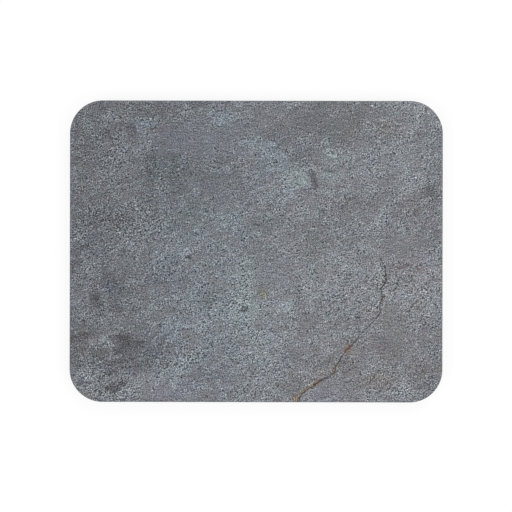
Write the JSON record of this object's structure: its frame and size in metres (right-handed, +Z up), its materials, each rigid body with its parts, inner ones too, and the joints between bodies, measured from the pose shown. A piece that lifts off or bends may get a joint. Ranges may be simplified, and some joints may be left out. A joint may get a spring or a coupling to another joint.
{
  "type": "serving tray",
  "caption": "Flat rimless rectangular melamine serving tray with rounded corners, a stone-look print moulded into its top, a hollow skirted underside and non-slip pads.",
  "frame": {"origin": "on the table that the pads stand on, under the middle of the tray", "axes": "+X along the long side, +Y along the short side towards the rear, +Z up out of the serving face"},
  "size_m": [0.325, 0.263, 0.015],
  "materials": {
    "melamine": "satin moulded melamine, dark grey",
    "stone_print": "satin overlay over a grey stone-look print",
    "pad_rubber": "matt soft rubber",
    "adhesive": "clear acrylic adhesive"
  },
  "bodies": {
    "root": {"tray_body": "melamine", "decor_foil": "stone_print", "foot_front_left": "pad_rubber", "foot_front_right": "pad_rubber", "foot_rear_left": "pad_rubber", "foot_rear_right": "pad_rubber", "adhesive_front_left": "adhesive", "adhesive_front_right": "adhesive", "adhesive_rear_left": "adhesive", "adhesive_rear_right": "adhesive"}
  },
  "joints": []
}
